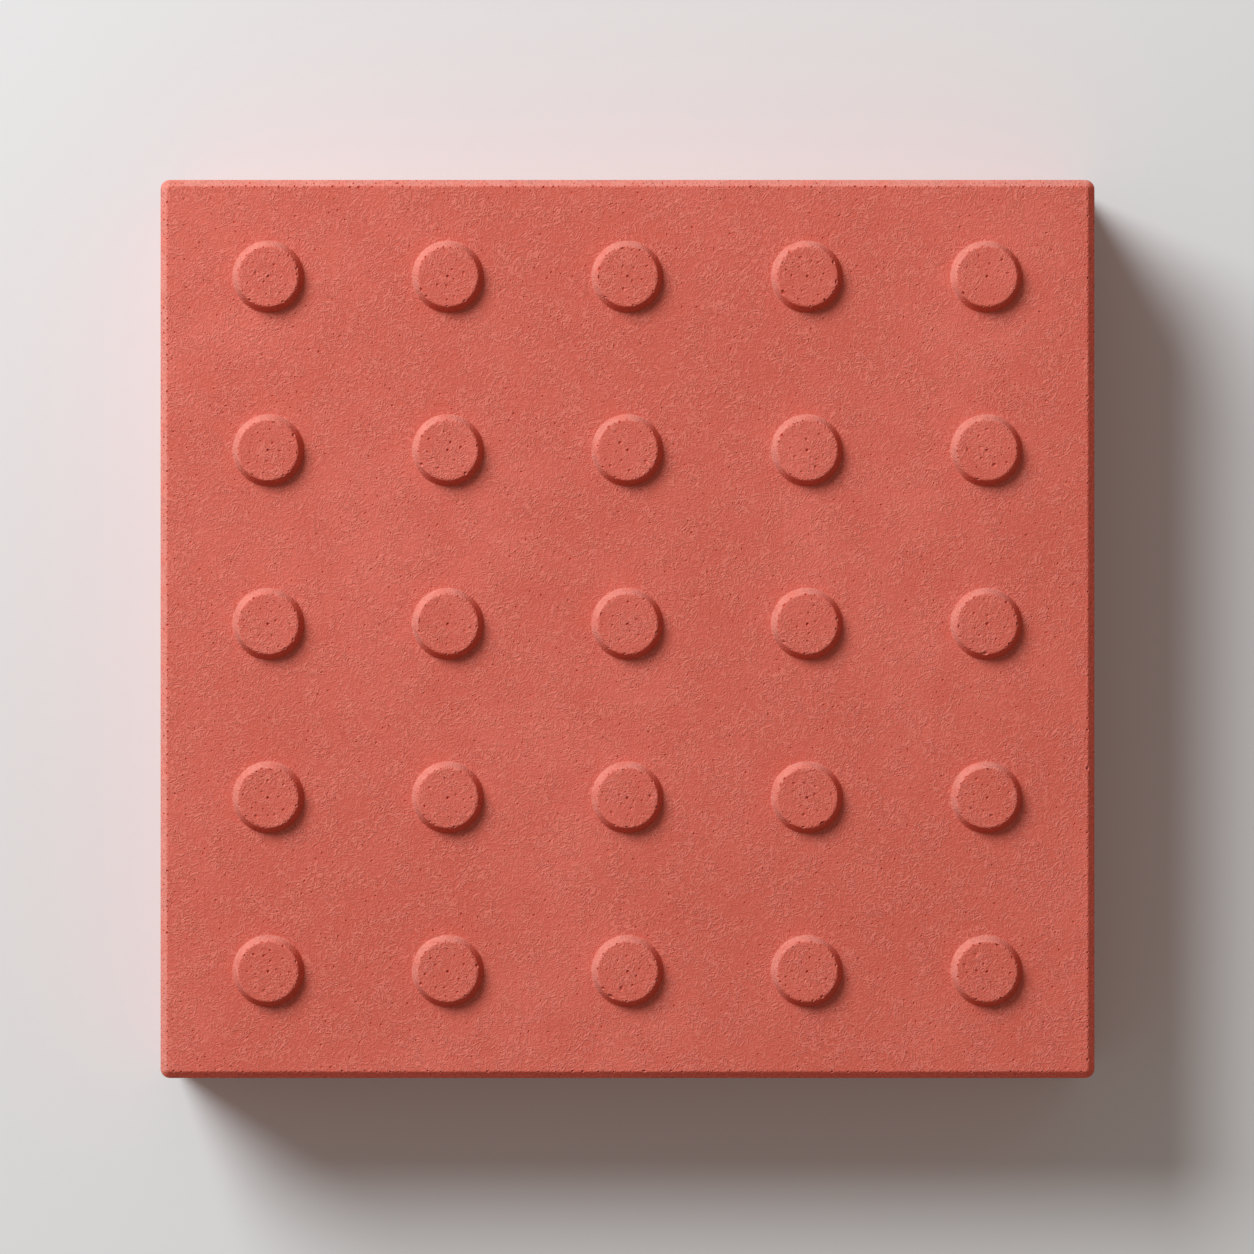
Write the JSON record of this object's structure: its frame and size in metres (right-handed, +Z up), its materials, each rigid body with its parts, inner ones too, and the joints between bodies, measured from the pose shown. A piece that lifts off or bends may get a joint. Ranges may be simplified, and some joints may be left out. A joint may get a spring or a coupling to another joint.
{
  "type": "tactile paving slab",
  "caption": "Coral-red concrete paving slab with a square grid of low flat-topped warning studs, a chamfered face edge and a plain bed.",
  "frame": {"origin": "centre of the bed, on the ground", "axes": "+X along the longer side, +Y along the shorter side towards the edge that the stud field sits closer to, +Z up through the studs"},
  "size_m": [0.3, 0.2886, 0.064],
  "materials": {
    "concrete": "through-coloured coral-red pressed concrete, matt, fine-grained, with small air pits"
  },
  "bodies": {
    "root": {"tactile_slab": "concrete"}
  },
  "joints": []
}
